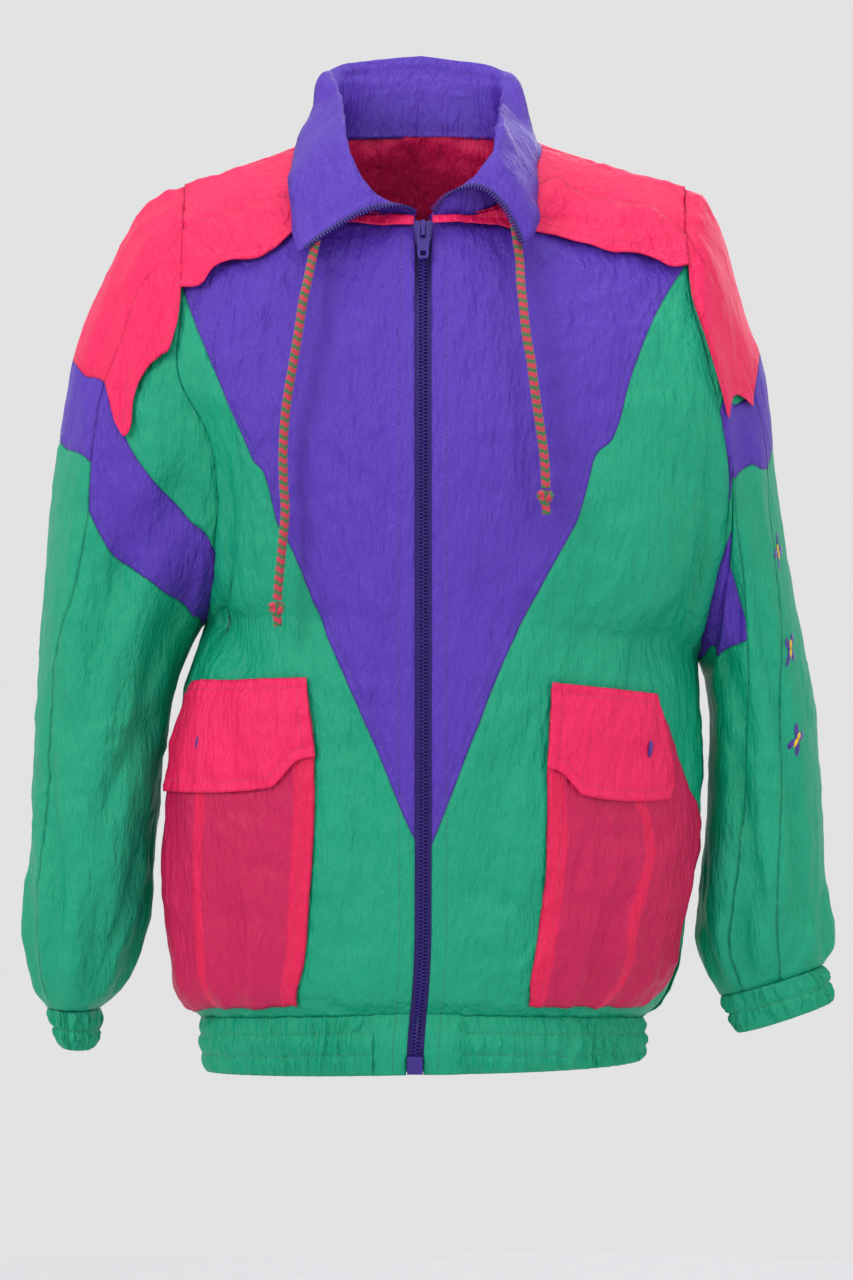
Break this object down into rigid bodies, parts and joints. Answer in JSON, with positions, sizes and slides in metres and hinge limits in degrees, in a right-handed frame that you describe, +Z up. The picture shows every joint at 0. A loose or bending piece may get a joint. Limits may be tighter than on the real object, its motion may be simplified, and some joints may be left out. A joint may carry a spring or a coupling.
{
  "type": "track jacket",
  "caption": "Hollow nylon track jacket, colour blocked, zipped to the neck with its collar leaves rolled open, storm flaps, cargo pockets, gathered cuffs and waistband.",
  "frame": {"origin": "middle of the neck opening at shoulder height, where the wearer holds the jacket", "axes": "+Z up along the zip, +X towards the viewer's right of a front view (the wearer's left sleeve), -Y out of the chest"},
  "size_m": [0.5921, 0.2759, 0.7511],
  "materials": {
    "nylon_pink": "crinkled light nylon, soft sheen",
    "nylon_crimson": "crinkled light nylon, soft sheen",
    "nylon_purple": "crinkled light nylon, soft sheen",
    "nylon_green": "crinkled light nylon, soft sheen",
    "zip_tape_weave": "woven zip tape, dull",
    "zip_plastic": "moulded, satin",
    "button_plastic": "smooth, glossy",
    "cord_braid": "braided, pink with green yarns"
  },
  "bodies": {
    "jacket": {"back_flap": "nylon_pink", "back_lower": "nylon_green", "back_upper": "nylon_purple", "back_yoke": "nylon_pink", "collar": "nylon_purple", "cuff_left": "nylon_green", "cuff_right": "nylon_green", "drawcord_knot_left": "cord_braid", "drawcord_knot_right": "cord_braid", "drawcord_left": "cord_braid", "drawcord_right": "cord_braid", "front_flap_left": "nylon_pink", "front_flap_right": "nylon_pink", "front_side_left": "nylon_green", "front_side_right": "nylon_green", "front_upper_left": "nylon_purple", "front_upper_right": "nylon_purple", "front_yoke_left": "nylon_pink", "front_yoke_right": "nylon_pink", "pocket_bag_left": "nylon_crimson", "pocket_bag_right": "nylon_crimson", "pocket_button_left": "button_plastic", "pocket_button_right": "button_plastic", "pocket_flap_left": "nylon_pink", "pocket_flap_right": "nylon_pink", "sleeve_band_left": "nylon_purple", "sleeve_band_right": "nylon_purple", "sleeve_cap_left": "nylon_pink", "sleeve_cap_right": "nylon_pink", "sleeve_flap_back_left": "nylon_pink", "sleeve_flap_back_right": "nylon_pink", "sleeve_flap_front_left": "nylon_pink", "sleeve_flap_front_right": "nylon_pink", "sleeve_fold_right": "nylon_green", "sleeve_front_band_right": "nylon_purple", "sleeve_gusset_back_left": "nylon_green", "sleeve_gusset_back_right": "nylon_green", "sleeve_gusset_front_left": "nylon_green", "sleeve_gusset_front_right": "nylon_green", "sleeve_outer_left": "nylon_green", "sleeve_outer_right": "nylon_green", "sleeve_under_back_right": "nylon_green", "sleeve_under_band_left": "nylon_purple", "sleeve_under_band_right": "nylon_purple", "sleeve_under_front_right": "nylon_green", "sleeve_under_left": "nylon_green", "waistband_elastic": "nylon_green", "waistband_tab_left": "nylon_green", "waistband_tab_right": "nylon_green", "zip_bottom_box": "zip_plastic", "zip_chain": "zip_plastic", "zip_row_left": "zip_plastic", "zip_row_right": "zip_plastic", "zip_slider": "zip_plastic", "zip_tape_left": "zip_tape_weave", "zip_tape_right": "zip_tape_weave"},
    "pull_tab": {"zip_pull_tab": "zip_plastic"}
  },
  "joints": [
    {"name": "pull_tab_hinge", "type": "hinge", "parent": "jacket", "child": "pull_tab", "pos_m": [0.0015, -0.08955, -0.06454], "axis": [-1, 0, 0], "range_deg": [0, 120]}
  ]
}
